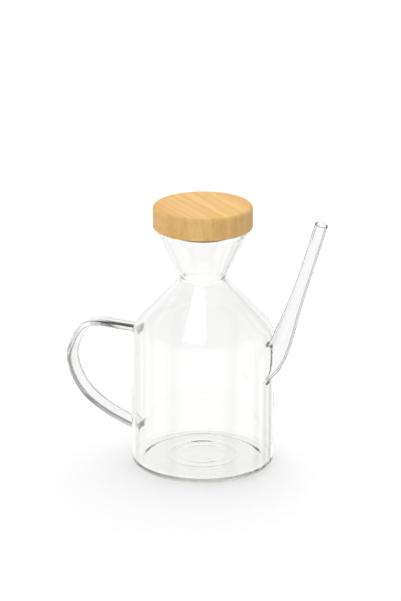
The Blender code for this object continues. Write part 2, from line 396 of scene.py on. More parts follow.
def row_at(distance, levels):
    """Rows, with their fractions, at which each column of a rising distance passes each level."""
    below = (distance[None] < levels[:, None, None]).sum(axis=1)
    upper = np.clip(below, 1, len(distance) - 1)
    low = np.take_along_axis(distance, upper - 1, axis=0)
    high = np.take_along_axis(distance, upper, axis=0)
    return upper - 1 + (levels[:, None] - low) / (high - low)


def pick(values, rows):
    """Values between whole rows: (1 - w) * values[i] + w * values[i + 1], column by column."""
    whole = np.clip(rows.astype(int), 0, len(values) - 2)
    weight = (rows - whole)[..., None]
    column = np.arange(values.shape[1])
    return values[whole, column] * (1 - weight) + values[whole + 1, column] * weight


def swung_out(points, normals, radius, depth=0.0):
    """Points moved along the wall by f = radius - sqrt(radius^2 - (radius - s)^2), s metres off the wall.

    At s = radius the move is nothing, and at s = 0 it is the whole radius, flush with the wall.
    """
    s = np.clip(off_wall(points, depth), 0.0, radius)
    move = radius - np.sqrt(radius ** 2 - (radius - s) ** 2)
    out = points * (1.0, 1.0, 0.0)
    out /= np.linalg.norm(out, axis=-1, keepdims=True)
    flat = normals - (normals * out).sum(axis=-1, keepdims=True) * out
    return points + flat / np.linalg.norm(flat, axis=-1, keepdims=True) * move[..., None]


def root_levels(radius):
    """Levels off the wall, from the middle of its thickness through even steps of the quarter circle."""
    angle = np.radians(np.linspace(0.0, 90.0, ROOT_STEPS))
    return np.concatenate([[-WALL / 2, -WALL / 5], radius * (1 - np.cos(angle))])


# %% [markdown]
# ## The spout
# The spout is a drawn tube: wide at its root, slim for most of its length, and cut square and fire-polished
# at the tip. Its middle line and its radius run smoothly through a few stations. The outer surface and the
# bore are two sweeps of a circle along that line, and a unit circle's outward normals are its own points. The
# bore is 1.1 to 1.5 mm smaller and opens with a soft edge.

# %% Line of the spout, in millimetres: along X, height, radius
SPOUT_STATIONS = (
    (36.0, 63.5, 9.6),
    (45.0, 72.0, 8.7),
    (52.0, 82.3, 6.7),
    (56.3, 94.0, 5.9),
    (61.4, 108.8, 4.65),
    (68.5, 130.0, 3.9),
    (76.6, 156.0, 3.8),
    (79.0, 163.9, 3.85),
    (79.45, 165.4, 4.15),
)
SPOUT_SIDES = 64

spout_line, spout_run = smooth_line(SPOUT_STATIONS, FINE_ROWS)
angle = (np.arange(SPOUT_SIDES) + 0.5) * 2 * math.pi / SPOUT_SIDES
circle = np.stack([np.cos(angle), np.sin(angle)], axis=1)
print("spout:", spout_run[-1].round(4), "metres along its line")

# %% Outer surface of the spout
SPOUT_FILLET = 1.2 * MM
TIP_ROUND = 0.45 * MM
SPOUT_FREE_ROWS = 100

to_tip = np.clip(spout_run[-1] - spout_run, 0.0, TIP_ROUND)
tip_curve = TIP_ROUND - np.sqrt(TIP_ROUND ** 2 - (TIP_ROUND - to_tip) ** 2)


def finer_to_end(count, power=1.7):
    """Shares from 0 to 1 whose steps shrink towards 1: 1 - (1 - u)^power."""
    return 1 - (1 - np.linspace(0.0, 1.0, count)) ** power


outer_rings, outer_normals = sweep(spout_line, circle, circle, spout_line[:, 2] - tip_curve)
root_rows = row_at(off_wall(outer_rings), root_levels(SPOUT_FILLET))
free_rows = root_rows[-1] + (FINE_ROWS - 1 - root_rows[-1]) * finer_to_end(SPOUT_FREE_ROWS)[1:, None]
spout_rows = np.vstack([root_rows, free_rows])
spout_points = swung_out(pick(outer_rings, spout_rows), pick(outer_normals, spout_rows), SPOUT_FILLET)
spout = skin("spout", spout_points)

# %% Bore of the spout
SPOUT_WALL_ROOT = 1.5 * MM
SPOUT_WALL_TIP = 1.1 * MM
BORE_FILLET = 3.0 * MM
BORE_ROWS = 150
PAST_THE_TIP = 4.0 * MM

spout_wall = SPOUT_WALL_ROOT + (SPOUT_WALL_TIP - SPOUT_WALL_ROOT) * spout_run / spout_run[-1]
bore_rings, bore_normals = sweep(spout_line, circle, circle, spout_line[:, 2] - spout_wall + tip_curve)
bore_rows = np.repeat((FINE_ROWS - 1) * finer_to_end(BORE_ROWS)[:, None], SPOUT_SIDES, axis=1)
bore_points = swung_out(pick(bore_rings, bore_rows), pick(bore_normals, bore_rows), BORE_FILLET, WALL)
ahead = spout_line[-1, :2] - spout_line[-2, :2]
ahead *= PAST_THE_TIP / np.linalg.norm(ahead)
bore_points = np.vstack([bore_points, bore_points[-1:] + (ahead[0], 0.0, ahead[1])])
bore = skin("bore", bore_points)

# %% [markdown]
# ## The handle
# The handle isn't a round rod but a flat strap, 11.2 mm wide and 3.5 mm thick, bent over its flat side into
# a large loop. Its corners are small and round, because each one draws a dark line along the real handle;
# the glass material adds painted shade along them as well. The arm at the top is a fuller bar, 4.5 mm thick:
# it bends the light more, which gives its broad dark band, together with the same painted shade. The two
# sections have the same number of points, so one turns into the other by a plain weighted mean.

# %% Line of the handle, in millimetres: along X and height
HANDLE_STATIONS = (
    (-43.9, 81.3),
    (-60.0, 81.4),
    (-73.0, 81.3),
    (-82.3, 77.95),
    (-88.85, 68.55),
    (-92.28, 56.8),
    (-89.3, 44.35),
    (-79.97, 31.82),
    (-64.0, 22.27),
    (-43.9, 14.97),
)

# One more station at each end carries the line on into the bottle.
stations = np.array(HANDLE_STATIONS)
stations = np.vstack([2 * stations[0] - stations[1], stations, 2 * stations[-1] - stations[-2]])
handle_line, handle_run = smooth_line(stations, FINE_ROWS)
print("handle:", handle_run[-1].round(4), "metres along its line")

# %% Section of the strap
FACE_POINTS = 10
CORNER_POINTS = 9
SIDE_POINTS = 4


def strap_section(depth, width, corner, crown):
    """A rectangle with rounded corners and slightly full faces, 2 depth by 2 width, and its outward normals.

    Each point is core + corner * normal. Over the wide face the core is (a - crown * u^2, b * u), with a
    normal along (b, 2 * crown * u); at the corner it stands still while the normal turns on to (0, 1), and
    along the narrow side it runs straight. One quarter is worked out and mirrored three times.
    """
    a, b = depth - corner, width - corner
    u = np.linspace(0.0, 1.0, FACE_POINTS)[:-1]
    turn = np.linspace(math.atan2(2 * crown, b), math.pi / 2, CORNER_POINTS)
    v = np.linspace(1.0, 0.0, SIDE_POINTS)[1:]
    core = np.vstack([np.stack([a - crown * u ** 2, b * u], axis=1),
                      np.tile([a - crown, b], (len(turn), 1)),
                      np.stack([(a - crown) * v, np.full(len(v), b)], axis=1)])
    face = np.stack([np.full(len(u), b), 2 * crown * u], axis=1)
    normal = np.vstack([face / np.linalg.norm(face, axis=1, keepdims=True),
                        np.stack([np.cos(turn), np.sin(turn)], axis=1),
                        np.tile([0.0, 1.0], (len(v), 1))])
    quarter = np.stack([core + corner * normal, normal])
    left = quarter[:, :-1][:, ::-1] * (-1.0, 1.0)
    upper = np.concatenate([quarter, left], axis=1)
    lower = upper[:, 1:-1][:, ::-1] * (1.0, -1.0)
    points, normals = np.concatenate([upper, lower], axis=1)
    return points, normals


# %% Section of the arm
def bar_section(points, half, new_half, power):
    """The section's points moved onto |x / a|^p + |y / b|^p = 1, a fuller bar, with the curve's own normals.

    Each point is scaled to the new half sizes a and b and then moved along its own ray from the middle.
    """
    scaled = points / half
    scaled /= (np.abs(scaled) ** power).sum(axis=1, keepdims=True) ** (1 / power)
    slope = np.sign(scaled) * np.abs(scaled) ** (power - 1) / new_half
    return scaled * new_half, slope / np.linalg.norm(slope, axis=1, keepdims=True)


# %% From the arm to the strap
GRIP_HALF = np.array([1.75, 5.6]) * MM
GRIP_CORNER = 0.8 * MM
GRIP_CROWN = 0.05 * MM
ARM_HALF = np.array([2.25, 5.2]) * MM
ARM_POWER = 3.1
ARM_END = 60.0 * MM
GRIP_START = 91.5 * MM

half_way = FINE_ROWS // 2
grip, grip_normal = strap_section(*GRIP_HALF, GRIP_CORNER, GRIP_CROWN)
arm, arm_normal = bar_section(grip, GRIP_HALF, ARM_HALF, ARM_POWER)
to_grip = np.clip((-handle_line[:, 0] - ARM_END) / (GRIP_START - ARM_END), 0.0, 1.0)
to_grip[half_way:] = 1.0
to_grip = (to_grip * to_grip * (3 - 2 * to_grip))[:, None, None]
strap = arm * (1 - to_grip) + grip * to_grip
strap_normal = arm_normal * (1 - to_grip) + grip_normal * to_grip
strap_normal /= np.linalg.norm(strap_normal, axis=2, keepdims=True)
print("strap:", (2 * GRIP_HALF).round(4), "metres, arm:", (2 * ARM_HALF).round(4), "metres")

# %% Surface of the handle
HANDLE_FILLET = 1.7 * MM
HANDLE_FREE_ROWS = 130

handle_rings, handle_normals = sweep(handle_line, strap, strap_normal, np.ones(FINE_ROWS))
handle_off = off_wall(handle_rings)
upper_rows = row_at(handle_off[:half_way], root_levels(HANDLE_FILLET))
lower_rows = FINE_ROWS - 1 - row_at(handle_off[half_way:][::-1], root_levels(HANDLE_FILLET))
share = np.linspace(0.0, 1.0, HANDLE_FREE_ROWS)[1:-1, None]
middle_rows = upper_rows[-1] + (lower_rows[-1] - upper_rows[-1]) * share
handle_rows = np.vstack([upper_rows, middle_rows, lower_rows[::-1]])
handle_points = swung_out(pick(handle_rings, handle_rows), pick(handle_normals, handle_rows), HANDLE_FILLET)
handle = skin("handle", handle_points)

# %% [markdown]
# ## Fusing the glass
# Body, spout and handle become one closed mesh, because light must not meet a hidden wall inside the glass.
# Two unions join them and a difference opens the bore. The manifold solver is quick and returns a closed
# mesh. Weighted normals then let the large faces decide the shading, so that the narrow triangles which a
# union leaves beside a joint don't show.


# %% Union, difference and a check that the glass is closed
def applied(target, kind, settings):
    """Gives the target the mesh that one modifier of the given kind and settings makes of it."""
    modifier = target.modifiers.new(kind.lower(), kind)
    for key, value in settings.items():
        setattr(modifier, key, value)
    depsgraph = bpy.context.evaluated_depsgraph_get()
    result = bpy.data.meshes.new_from_object(target.evaluated_get(depsgraph))
    target.modifiers.remove(modifier)
    target.data = result


def fuse(target, other, operation):
    """Applies one Boolean to the target's mesh and removes the other object."""
    applied(target, "BOOLEAN", {"operation": operation, "solver": "MANIFOLD", "object": other})
    bpy.data.objects.remove(other, do_unlink=True)


def open_edges(mesh):
    """The number of edges that don't have exactly two faces; a closed mesh has none."""
    edge = np.empty(len(mesh.loops), np.int32)
    mesh.loops.foreach_get("edge_index", edge)
    return int((np.bincount(edge, minlength=len(mesh.edges)) != 2).sum())


fuse(vessel, spout, "UNION")
fuse(vessel, handle, "UNION")
fuse(vessel, bore, "DIFFERENCE")
vessel.data.shade_smooth()
applied(vessel, "WEIGHTED_NORMAL", {"mode": "FACE_AREA"})
print("glass:", len(vessel.data.polygons), "faces, open edges:", open_edges(vessel.data))

# %% [markdown]
# ## Which side of the wall
# A hollow wall has an outer side and an inner side, and only the outer one draws the glass's outline. Each
# point notes which side it is on: its normal points away from the line that its wall is turned or swept
# about, or towards it. An attribute of the mesh carries the answer to the material.

# %% Outer and inner side
LINE_STEP = 25


def on_outer_side(mesh, line, radius):
    """1 for a point of the outer side, 0 for one of the inner side.

    The side is the sign of the dot product of the point's normal and its offset from the line that it
    belongs to: the nearest point of the spout's line, or the bottle's axis where x is within the radius.
    """
    count = len(mesh.vertices)
    points, normals = (np.empty(count * 3, np.float32) for _ in range(2))
    mesh.vertices.foreach_get("co", points)
    mesh.vertices.foreach_get("normal", normals)
    points, normals = points.reshape(-1, 3), normals.reshape(-1, 3)
    offset = points * (1.0, 1.0, 0.0)
    beyond = points[:, 0] > radius
    track = np.stack([line[:, 0], np.zeros(len(line)), line[:, 1]], axis=1)
    away = points[beyond][:, None] - track[None]
    nearest = (away ** 2).sum(axis=2).argmin(axis=1)
    offset[beyond] = away[np.arange(len(away)), nearest]
    return ((offset * normals).sum(axis=1) > 0).astype(np.float32)


outer = on_outer_side(vessel.data, spout_line[::LINE_STEP], BODY_RADIUS)
vessel.data.attributes.new("outer", "FLOAT", "POINT").data.foreach_set("value", outer)
print("outer side:", int(outer.sum()), "of", len(outer), "points")

# %% [markdown]
# ## The bamboo lid
# The lid is turned from one block: a disc, a skirt that covers the lip, and a plug that hangs into the mouth,
# with a groove between them for the glass. Its edges are only eased with sandpaper, so the radii are small.

# %% Lid
LID_RADIUS = 31.0 * MM
LID_TOP = 168.0 * MM
LID_EDGE_ROUND = 2.2 * MM
SKIRT_BOTTOM = 153.6 * MM
SKIRT_INNER_RADIUS = 27.5 * MM
SKIRT_OUTER_ROUND = 1.2 * MM
SKIRT_INNER_ROUND = 0.5 * MM
GROOVE_ROUND = 0.4 * MM
PLUG_RADIUS = 20.6 * MM
PLUG_BOTTOM = 149.2 * MM
PLUG_ROUND = 2.0 * MM
GAP = 0.3 * MM
LID_ARC_STEP = 10.0
LID_STEP = 1.6 * MM
LID_SIDES = 192

groove_top = LIP_HEIGHT + LIP_BEAD + GAP
lid_corners = [
    (0.0, PLUG_BOTTOM),
    (PLUG_RADIUS, PLUG_BOTTOM, PLUG_ROUND),
    (PLUG_RADIUS, groove_top, GROOVE_ROUND),
    (SKIRT_INNER_RADIUS, groove_top, GROOVE_ROUND),
    (SKIRT_INNER_RADIUS, SKIRT_BOTTOM, SKIRT_INNER_ROUND),
    (LID_RADIUS, SKIRT_BOTTOM, SKIRT_OUTER_ROUND),
    (LID_RADIUS, LID_TOP, LID_EDGE_ROUND),
    (0.0, LID_TOP),
]
lid = turned("lid_bamboo", filled(rounded(lid_corners, LID_ARC_STEP), LID_STEP), LID_SIDES)

# %% [markdown]
# ## The silicone seal
# The seal is a sleeve round the plug with two soft fins that press on the glass. It is moulded, so each fin
# is a rounded blade. Its profile is a closed loop that never meets the axis, and turning it gives a ring.

# %% Seal
SEAL_RADIUS = 24.55 * MM
SEAL_CORE_RADIUS = 23.3 * MM
SEAL_BOTTOM = 151.6 * MM
SEAL_END_ROUND = 0.3 * MM
FIN_THICKNESS = 1.5 * MM
FIN_ROUND = 0.55 * MM
FIN_ROOT_ROUND = 0.25 * MM
SEAL_ARC_STEP = 15.0
SEAL_STEP = 1.0 * MM
SEAL_SIDES = 160

seal_top = LIP_HEIGHT + LIP_BEAD
seal_inner = PLUG_RADIUS + GAP
fin_lift = FIN_THICKNESS + (seal_top - SEAL_BOTTOM - 2 * FIN_THICKNESS) / 2
seal_corners = [(seal_inner, SEAL_BOTTOM, SEAL_END_ROUND)]
for lift in (0.0, fin_lift):
    low = SEAL_BOTTOM + lift
    high = low + FIN_THICKNESS
    foot = [] if lift == 0.0 else [(SEAL_CORE_RADIUS, low, FIN_ROOT_ROUND)]
    seal_corners += foot + [
        (SEAL_RADIUS, low, FIN_ROUND),
        (SEAL_RADIUS, high, FIN_ROUND),
        (SEAL_CORE_RADIUS, high, FIN_ROOT_ROUND),
    ]
seal_corners += [(SEAL_CORE_RADIUS, seal_top, SEAL_END_ROUND), (seal_inner, seal_top, SEAL_END_ROUND)]

# The loop is opened in the middle of its straight inner side, where no corner is needed.
seam = (seal_inner, (SEAL_BOTTOM + seal_top) / 2)
loop = filled(rounded([seam, *seal_corners, seam], SEAL_ARC_STEP), SEAL_STEP)[:-1]
seal = turned("seal_silicone", loop, SEAL_SIDES, wrap_rows=True)

# %% [markdown]
# ## Formulas as shader nodes
# Shader maths is easier to read as a formula than as a chain of nodes. The class below wraps a node's output
# so that +, -, * and / on it add Math nodes, also with the number first, as in 1 - mask. Colours go through
# Mix nodes, because a Math node would turn them grey.


# %% A wire that can be calculated with
class Wire:
    """One output socket of a node. Python's signs on it add Math nodes to its tree."""

    def __init__(self, tree, socket):
        self.tree = tree
        self.socket = socket

    def __add__(self, other):
        return self.tree.maths("ADD", self, other)

    def __sub__(self, other):
        return self.tree.maths("SUBTRACT", self, other)

    def __rsub__(self, other):
        return self.tree.maths("SUBTRACT", other, self)

    def __mul__(self, other):
        return self.tree.maths("MULTIPLY", self, other)

    def __truediv__(self, other):
        return self.tree.maths("DIVIDE", self, other)

    def __rtruediv__(self, other):
        return self.tree.maths("DIVIDE", other, self)

    __radd__ = __add__
    __rmul__ = __mul__

    def above(self, low, high):
        """0 up to low, 1 from high on, and a smooth step between them."""
        return self.tree.add("ShaderNodeMapRange", {"interpolation_type": "SMOOTHSTEP"},
                             {"Value": self, "From Min": low, "From Max": high})

    def below(self, low, high):
        """1 up to low and 0 from high on, the reverse of above."""
        return 1 - self.above(low, high)


# %% A tree that grows node by node
class Tree:
    """A node tree with one short way to add a node: its type, its settings, then its sockets."""

    def __init__(self, owner):
        owner.use_nodes = True
        self.name = owner.name
        self.nodes = owner.node_tree.nodes
        self.links = owner.node_tree.links
        self.nodes.clear()

    def add(self, kind, settings=None, sockets=None, output=0):
        """A new node, and one of its outputs as a wire."""
        node = self.nodes.new(kind)
        for key, value in (settings or {}).items():
            setattr(node, key, value)
        for key, value in (sockets or {}).items():
            if isinstance(value, Wire):
                self.links.new(value.socket, node.inputs[key])
            else:
                node.inputs[key].default_value = value
        return Wire(self, node.outputs[output])

    def maths(self, operation, *values):
        """One Math node on one or more values."""
        return self.add("ShaderNodeMath", {"operation": operation}, dict(enumerate(values)))

    def parts(self, vector):
        """The three numbers of a vector, each as a wire."""
        first = self.add("ShaderNodeSeparateXYZ", {}, {0: vector})
        return [Wire(self, output) for output in first.socket.node.outputs]

    def stretched(self, vector, scale):
        """The vector with each of its numbers multiplied by its own scale."""
        return self.add("ShaderNodeMapping", {}, {"Vector": vector, "Scale": scale})

    def noise(self, vector, scale, detail, roughness=0.5):
        """Cloudy noise between 0 and 1, with one scale for all directions or one for each."""
        if isinstance(scale, tuple):
            vector, scale = self.stretched(vector, scale), 1.0
        return self.add("ShaderNodeTexNoise", {},
                        {"Vector": vector, "Scale": scale, "Detail": detail, "Roughness": roughness})

    def mix(self, factor, first, second):
        """first where factor is 0 and second where it is 1, both colours."""
        ends = [end if isinstance(end, Wire) else (*end, 1.0) for end in (first, second)]
        return self.add("ShaderNodeMix", {"data_type": "RGBA"}, {0: factor, 6: ends[0], 7: ends[1]}, 2)

    def show(self, kind, surface, volume=None):
        """Ends the tree in an output node of the given kind."""
        node = self.nodes.new(kind)
        self.links.new(surface.socket, node.inputs["Surface"])
        if volume:
            self.links.new(volume.socket, node.inputs["Volume"])
        print(f"{self.name}: {len(self.nodes)} nodes")


# %% [markdown]
# ## Clear glass
# Borosilicate glass is nearly colourless; only where the eye looks along a wall does a grey-green tint build
# up. Volume absorption gives the even part of it: light loses a little of itself for every millimetre that it
# travels inside the glass. Drawing by hand leaves slow waves and fine cords in the wall, which a bump of well
# under a tenth of a millimetre stands for.

# %% Waves and cords in the glass
WAVE_SCALE = 55.0
WAVE_DEPTH = 0.25 * MM
WAVE_STRENGTH = 0.35
CORD_SCALE = (260.0, 260.0, 34.0)
CORD_HEIGHT = 0.12
SMEAR_RANGE = (0.55, 0.9)
SMEAR = 0.02

glass = bpy.data.materials.new("clear_glass")
tree = Tree(glass)
spot = tree.add("ShaderNodeTexCoord", output=3)
waves = tree.noise(spot, WAVE_SCALE, 2.0, 0.4)
cords = tree.noise(spot, CORD_SCALE, 1.0)
relief = waves + cords * CORD_HEIGHT
bump = tree.add("ShaderNodeBump", {}, {
    "Height": relief, "Strength": WAVE_STRENGTH, "Distance": WAVE_DEPTH})
smear = cords.above(*SMEAR_RANGE) * SMEAR
print("glass with waves and cords:", len(tree.nodes), "nodes")

# %% [markdown]
# ## The parts of the glass
# The vessel is one piece with one material, but its parts don't look alike: the floor and the heel are
# thicker, the floor also gets a painted shadow for the table's shade under the bottle, the spout and the
# upper shoulder get painted shade for the dim ceiling, and the corners of the strap get painted dark lines.
# Masks tell these parts apart. They are made from the object's own coordinates and normals, so they stay on
# the glass from whichever side it is seen. Each range below is where a mask fades in or out.

# %% Masks for the parts of the glass
SPOUT_BEGINS = (44.5 * MM, 48.0 * MM)
HANDLE_ENDS = (-49.0 * MM, -47.0 * MM)
CORNER_BEGINS = (0.20, 0.40)
CORNER_ENDS = (0.86, 0.98)
FLOOR_TOP = (3.8 * MM, 4.4 * MM)
FLOOR_RIM = (38.5 * MM, 40.5 * MM)
HEEL_TOP = (2.0 * MM, 4.0 * MM)
HEEL_INNER = (41.0 * MM, 42.5 * MM)
UPPER_SHOULDER = (80.0 * MM, 112.0 * MM)
WAIST_BEGINS = (107.0 * MM, 111.0 * MM)

spot_x, spot_y, spot_z = tree.parts(spot)
sideways = tree.maths("ABSOLUTE", tree.parts(tree.add("ShaderNodeTexCoord", output=1))[1])
reach = tree.maths("SQRT", spot_x * spot_x + spot_y * spot_y)
spout_mask = spot_x.above(*SPOUT_BEGINS)
# The masks for the strap corners, the floor and the upper shoulder place painted shade on the glass.
corner_shade_mask = sideways.above(*CORNER_BEGINS) * sideways.below(*CORNER_ENDS) * spot_x.below(*HANDLE_ENDS)
floor_shadow_mask = spot_z.below(*FLOOR_TOP) * reach.below(*FLOOR_RIM)
heel_mask = spot_z.below(*HEEL_TOP) * reach.above(*HEEL_INNER)
shoulder_shade_mask = spot_z.above(*UPPER_SHOULDER) * spot_z.below(*WAIST_BEGINS)
print("with its masks:", len(tree.nodes), "nodes")

# %% [markdown]
# ## Tints and painted shade of the glass
# The colour of clear glass is nearly white, and it only filters what shines through. Besides the slow waves
# of its own tone, each part mixes in painted shade, most of it less than a tenth below white: a painted
# shadow on the floor and painted shade on the upper shoulder and the spout. The corners of the strap and the
# walls seen almost edge on get clearly darker painted shade, because there real glass bends in the dark of
# the room.
# Layer Weight's facing output, 0 face on and 1 edge on, tells where a wall is seen edge on.

# %% Colour and painted shade of the glass
GLASS_CLEARER = (0.997, 0.998, 0.993)
GLASS_DENSER = (0.990, 0.992, 0.988)
# Painted shadow: grey for the table's shadow under the bottle, seen through the floor.
FLOOR_PAINTED_SHADOW = (0.925, 0.925, 0.905)
# Painted shade on the upper shoulder and the spout, for the dim ceiling that they would show.
SHOULDER_PAINTED_SHADE = (0.965, 0.967, 0.965)
# Painted shade along the corners of the strap: dark lines.
STRAP_CORNER_PAINTED_SHADE = (0.50, 0.51, 0.48)
# Painted shade on walls seen almost edge on, then where it begins and how fast it rises.
EDGE_PAINTED_SHADE = (0.38, 0.39, 0.36)
EDGE_SHADE_FROM = 0.86
EDGE_SHADE_RISE = 0.25

slant = tree.add("ShaderNodeLayerWeight", {}, {"Blend": 0.5}, 1)
edge = slant.above(EDGE_SHADE_FROM, EDGE_SHADE_FROM + EDGE_SHADE_RISE)
colour = tree.mix(waves, GLASS_DENSER, GLASS_CLEARER)
colour = tree.mix(floor_shadow_mask, colour, FLOOR_PAINTED_SHADOW)
colour = tree.mix(tree.maths("MAXIMUM", shoulder_shade_mask, spout_mask), colour, SHOULDER_PAINTED_SHADE)
colour = tree.mix(corner_shade_mask, colour, STRAP_CORNER_PAINTED_SHADE)
colour = tree.mix(edge, colour, EDGE_PAINTED_SHADE)
print("with its tints:", len(tree.nodes), "nodes")

# %% [markdown]
# ## Painted outline of the glass
# The outline of a thin glass tube is a fine dark line, because its outermost wall sends the eye far off to
# the side. A bright room would wash that line out, so the material paints it as shade: a narrow band of
# slant, on the outer side alone, takes on a grey filter. It is strong on the spout, begins a little earlier
# towards the slim tip, and is faint on the shoulder. A wider band would turn the whole spout grey from above.

# %% Painted outline of the spout and the shoulder
SPOUT_LINE_SHARE = 0.85
SPOUT_LINE_FROM = 0.66
SPOUT_LINE_RISE = 0.15
SPOUT_TIP_EARLIER = 0.08
TOWARDS_TIP = (80.0 * MM, 160.0 * MM)
SHOULDER_BEGINS = (84.0 * MM, 94.0 * MM)
SHOULDER_SHARE = 0.11
SHOULDER_FROM = 0.64
SHOULDER_RISE = 0.16
HALF_WAY = (0.4, 0.6)

start = SPOUT_LINE_FROM - spot_z.above(*TOWARDS_TIP) * SPOUT_TIP_EARLIER
spout_line_share = slant.above(start, start + SPOUT_LINE_RISE) * SPOUT_LINE_SHARE
shoulder_line_share = slant.above(SHOULDER_FROM, SHOULDER_FROM + SHOULDER_RISE) * SHOULDER_SHARE
shoulder_line_share = (1 - spout_mask) * spot_z.above(*SHOULDER_BEGINS) * shoulder_line_share
outer_wall = tree.add("ShaderNodeAttribute", {"attribute_name": "outer"}, output=2).above(*HALF_WAY)
outline = (spout_mask * spout_line_share + shoulder_line_share) * outer_wall
print("with its outline:", len(tree.nodes), "nodes")

# %% [markdown]
# ## Glass shader
# A Principled shader with full transmission bends and mirrors the light. Three Transparent shaders are mixed
# over it. One lets part of the light run straight on through the thick heel, which would otherwise gather
# all the dark of the room. One is the grey filter of the painted dark outline. The last lets lamps shine
# through the walls with a small loss, most of it where they are seen edge on, so that the shadow stays soft
# and pale.

# %% Glass material
GLASS_INDEX = 1.47
GLASS_TINT = (0.52, 0.56, 0.42)
GLASS_TINT_PER_METRE = 5.0
GLASS_LAMP_SHARE = (0.995, 1.0, 0.995)
SHADOW_AT_EDGE = 0.8
SHADOW_EDGE_POWER = 6.0
HEEL_GLASS = (1.0, 1.0, 0.98)
HEEL_SHARE = 0.28
# Grey of the painted dark outline.
OUTLINE_PAINTED_SHADE = (0.20, 0.20, 0.19)


def straight_through(tree, shader, share, filter_colour):
    """The shader, of which a share is replaced by light that runs straight on through a colour filter."""
    straight = tree.add("ShaderNodeBsdfTransparent", {}, {"Color": (*filter_colour, 1.0)})
    return tree.add("ShaderNodeMixShader", {}, {0: share, 1: shader, 2: straight})


clear = tree.add("ShaderNodeBsdfPrincipled", {}, {
    "Base Color": colour, "Roughness": smear, "IOR": GLASS_INDEX, "Transmission Weight": 1.0, "Normal": bump})
clear = straight_through(tree, clear, heel_mask * HEEL_SHARE, HEEL_GLASS)
clear = straight_through(tree, clear, outline, OUTLINE_PAINTED_SHADE)
lamp_ray = tree.add("ShaderNodeLightPath", output=1)
let_through = lamp_ray * (1.0 - tree.maths("POWER", slant, SHADOW_EDGE_POWER) * SHADOW_AT_EDGE)
clear = straight_through(tree, clear, let_through, GLASS_LAMP_SHARE)
tint = tree.add("ShaderNodeVolumeAbsorption", {}, {
    "Color": (*GLASS_TINT, 1.0), "Density": GLASS_TINT_PER_METRE})
tree.show("ShaderNodeOutputMaterial", clear, tint)
vessel.data.materials.clear()
vessel.data.materials.append(glass)

# %% [markdown]
# ## Bamboo
# Bamboo board is glued from strips of cane. Each strip has its own tone, and inside it run long bundles of
# darker fibre: as streaks along the strip, and as dots where the lid's side cuts across them. One solid
# pattern in the object's own coordinates gives both, because it is stretched along the grain, more than
# thirty times against its width. A picture wrapped round the lid would have to fake the cut ends.

# %% Bamboo pattern
GRAIN_TURN = math.radians(38.0)
STRIP_WIDTH = 7.2 * MM
STRIP_TONES = 11.3
FIBRE_SCALE = (22.0, 760.0, 190.0)
BROAD_SCALE = (6.0, 230.0, 30.0)
BUNDLE_SCALE = (30.0, 1100.0, 330.0)
BUNDLE_SIZE = (0.1, 0.42)
FIBRE_RANGE = (0.42, 0.75)
BROAD_RANGE = (0.3, 0.7)
STREAK_OF_BUNDLE = 0.45
STREAK_OF_FIBRE = 0.5

bamboo = bpy.data.materials.new("bamboo")
tree = Tree(bamboo)
spot = tree.add("ShaderNodeTexCoord", output=3)
grain = tree.add("ShaderNodeMapping", {}, {"Vector": spot, "Rotation": (0.0, 0.0, GRAIN_TURN)})
strip = tree.maths("FLOOR", tree.parts(grain)[1] / STRIP_WIDTH)
strip_tone = tree.add("ShaderNodeTexWhiteNoise", {"noise_dimensions": "1D"}, {"W": strip + STRIP_TONES})
fibre = tree.noise(grain, FIBRE_SCALE, 4.0, 0.6)
broad = tree.noise(grain, BROAD_SCALE, 2.0)
bundle = tree.add("ShaderNodeTexVoronoi", {}, {
    "Vector": tree.stretched(grain, BUNDLE_SCALE), "Scale": 1.0, "Randomness": 0.9})
streak = bundle.below(*BUNDLE_SIZE) * STREAK_OF_BUNDLE + fibre.above(*FIBRE_RANGE) * STREAK_OF_FIBRE
print("strips of bamboo across the lid:", round(2 * LID_RADIUS / STRIP_WIDTH, 1))

# %% [markdown]
# The tone adds up what differs from strip to strip, what drifts slowly along a strip, and the streaks. It
# mixes a pale cane colour with a deep one. The same fibres also make the surface a little rougher and raise
# a relief of a few hundredths of a millimetre, as sanded bamboo has.

# %% Bamboo material
BAMBOO_PALE = (0.85, 0.555, 0.22)
BAMBOO_DEEP = (0.56, 0.27, 0.07)
TONE_OF_STRIP = 0.34
TONE_OF_BROAD = 0.34
TONE_OF_STREAK = 0.5
TONE_DEPTH = 0.8
BAMBOO_ROUGHNESS = 0.42
ROUGHER_BY_FIBRE = 0.2
RAISED_BY_FIBRE = 0.6
SUNK_BY_STREAK = 0.5
FIBRE_RELIEF = 0.06 * MM

tone = strip_tone * TONE_OF_STRIP + broad.above(*BROAD_RANGE) * TONE_OF_BROAD + streak * TONE_OF_STREAK
colour = tree.mix(tone * TONE_DEPTH, BAMBOO_PALE, BAMBOO_DEEP)
rough = BAMBOO_ROUGHNESS + fibre * ROUGHER_BY_FIBRE
relief = fibre * RAISED_BY_FIBRE - streak * SUNK_BY_STREAK
bump = tree.add("ShaderNodeBump", {}, {"Height": relief, "Strength": 0.5, "Distance": FIBRE_RELIEF})
wood = tree.add("ShaderNodeBsdfPrincipled", {}, {
    "Base Color": colour, "Roughness": rough, "Normal": bump, "Specular IOR Level": 0.35})
tree.show("ShaderNodeOutputMaterial", wood)
lid.data.materials.append(bamboo)

# %% [markdown]
# ## Silicone
# The seal is milky silicone: light enters it and comes out again a little way off, and its skin is matt from
# the mould. Subsurface scattering gives the soft look; fine noise keeps the skin from looking like plastic.

# %% Silicone material
SILICONE_DEEP = (0.66, 0.55, 0.40)
SILICONE_PALE = (0.74, 0.64, 0.50)
SILICONE_ROUGHNESS = 0.38
ROUGHER_BY_MOTTLE = 0.14
MOTTLE_SCALE = 240.0
SKIN_SCALE = 2600.0
SKIN_RELIEF = 0.03 * MM
SCATTER_REACH = 1.5 * MM

